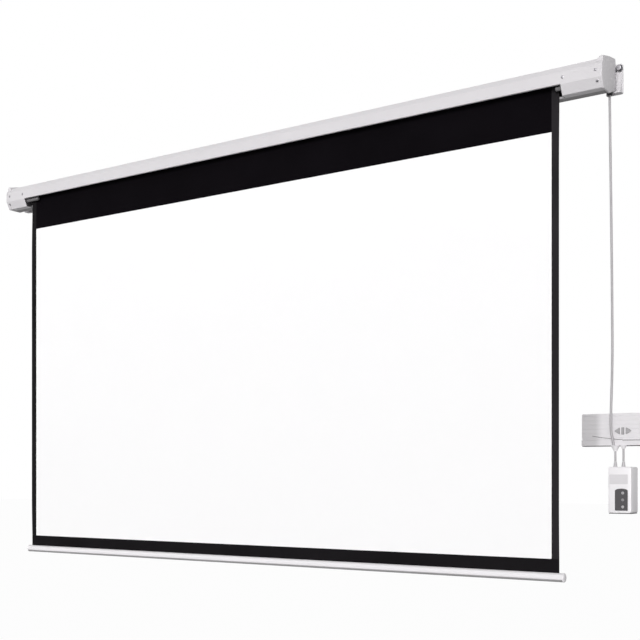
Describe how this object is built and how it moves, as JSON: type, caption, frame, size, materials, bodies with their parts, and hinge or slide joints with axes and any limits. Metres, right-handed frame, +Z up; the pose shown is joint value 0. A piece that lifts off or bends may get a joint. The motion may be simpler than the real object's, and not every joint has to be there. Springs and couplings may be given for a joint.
{
  "type": "motorized projector screen",
  "caption": "Wall-hung electric projection screen: eight-sided case, tubular motor roller, black-bordered white cloth with weight bar, wall control station and hanging receiver.",
  "frame": {"origin": "on the wall plane, in the middle of the picture's width, 31.5 mm below the top of the case", "axes": "+X along the screen to the motor end, +Y into the wall, +Z up; the picture faces -Y"},
  "size_m": [2.2513, 0.1121, 1.2729],
  "materials": {
    "case_paint": "smooth white powder coat",
    "cap_plastic": "fine moulded texture, light grey",
    "zinc_steel": "bright zinc plate",
    "dark_steel": "dark zinc plate",
    "roller_metal": "mill finish",
    "black_plastic": "moulded, matt",
    "black_cloth": "matt black coated cloth",
    "white_cloth": "matt white coated cloth",
    "white_plastic": "satin moulded plastic",
    "grey_plastic": "moulded, satin",
    "panel_plastic": "dark grey moulded panel",
    "cable_skin": "light grey cable sheath",
    "board_green": "green circuit board"
  },
  "bodies": {
    "housing": {"housing_shell": "case_paint", "bottom_panel": "case_paint", "slot_end_left": "case_paint", "slot_end_right": "case_paint", "end_cap_left": "cap_plastic", "end_cap_right": "cap_plastic", "wall_bracket_left": "case_paint", "wall_bracket_right": "case_paint", "hanger_hook_left": "dark_steel", "hanger_hook_right": "dark_steel", "hanger_peg_left": "zinc_steel", "hanger_peg_right": "zinc_steel", "bracket_screw_left": "zinc_steel", "bracket_screw_right": "zinc_steel", "cap_screw_left_upper": "zinc_steel", "cap_screw_left_lower": "zinc_steel", "cap_screw_right_upper": "zinc_steel", "cap_screw_right_lower": "zinc_steel", "plate_rivet_left": "zinc_steel", "plate_rivet_right": "zinc_steel", "bearing_plate_left": "zinc_steel", "idler_pin": "dark_steel", "motor_casing": "zinc_steel", "motor_head": "black_plastic", "motor_plate_right": "zinc_steel", "motor_lead": "cable_skin", "cable_gland": "black_plastic", "motor_cable": "cable_skin", "screen_backing": "black_cloth", "screen_face": "white_cloth", "station_base": "white_plastic", "station_cover": "white_plastic", "station_board": "board_green", "station_relief_1": "white_plastic", "station_relief_2": "white_plastic", "receiver_front": "white_plastic", "receiver_back": "white_plastic", "receiver_panel": "panel_plastic", "receiver_board": "board_green", "receiver_relief_1": "white_plastic", "receiver_relief_2": "white_plastic", "receiver_lead_1": "cable_skin", "receiver_lead_2": "cable_skin"},
    "roller": {"roller_tube": "roller_metal", "idler_plug": "black_plastic", "crown_ring": "black_plastic", "drive_wheel": "black_plastic", "leader_wrap": "black_cloth"},
    "bottom_bar": {"weight_bar": "case_paint", "bar_cap_left": "white_plastic", "bar_cap_right": "white_plastic", "screen_hem": "black_cloth"},
    "limit_setter_lower": {"limit_screw_lower": "cap_plastic"},
    "limit_setter_upper": {"limit_screw_upper": "cap_plastic"},
    "button_down": {"receiver_button_down": "grey_plastic"},
    "button_stop": {"receiver_button_stop": "grey_plastic"},
    "button_up": {"receiver_button_up": "grey_plastic"},
    "key_left": {"station_key_left": "grey_plastic"},
    "key_stop": {"station_key_stop": "grey_plastic"},
    "key_right": {"station_key_right": "grey_plastic"}
  },
  "joints": [
    {"name": "screen_lift", "type": "slide", "parent": "housing", "child": "bottom_bar", "axis": [0, 0, 1], "range_m": [0, 1.151], "deforming": ["screen_backing", "screen_face"]},
    {"name": "roller_spin", "type": "hinge", "parent": "housing", "child": "roller", "pos_m": [0, -0.05345, -0.004], "axis": [1, 0, 0], "range_deg": [-2400, 0]},
    {"name": "limit_turn_lower", "type": "hinge", "parent": "housing", "child": "limit_setter_lower", "pos_m": [0.96, -0.05345, -0.0225], "axis": [0, 0, 1], "continuous": true},
    {"name": "limit_turn_upper", "type": "hinge", "parent": "housing", "child": "limit_setter_upper", "pos_m": [0.97, -0.05345, -0.0225], "axis": [0, 0, 1], "continuous": true},
    {"name": "button_down_press", "type": "slide", "parent": "housing", "child": "button_down", "axis": [0, 1, 0], "range_m": [0, 0.0008], "stiffness_N_per_m": 400, "springref_m": -0.0005},
    {"name": "button_stop_press", "type": "slide", "parent": "housing", "child": "button_stop", "axis": [0, 1, 0], "range_m": [0, 0.0008], "stiffness_N_per_m": 400, "springref_m": -0.0005},
    {"name": "button_up_press", "type": "slide", "parent": "housing", "child": "button_up", "axis": [0, 1, 0], "range_m": [0, 0.0008], "stiffness_N_per_m": 400, "springref_m": -0.0005},
    {"name": "key_left_press", "type": "slide", "parent": "housing", "child": "key_left", "axis": [0, 1, 0], "range_m": [0, 0.001], "stiffness_N_per_m": 400, "springref_m": -0.0005},
    {"name": "key_stop_press", "type": "slide", "parent": "housing", "child": "key_stop", "axis": [0, 1, 0], "range_m": [0, 0.001], "stiffness_N_per_m": 400, "springref_m": -0.0005},
    {"name": "key_right_press", "type": "slide", "parent": "housing", "child": "key_right", "axis": [0, 1, 0], "range_m": [0, 0.001], "stiffness_N_per_m": 400, "springref_m": -0.0005}
  ],
  "couplings": [
    {"joint": "roller_spin", "follows": "screen_lift", "rad_per_m": -35.9}
  ]
}
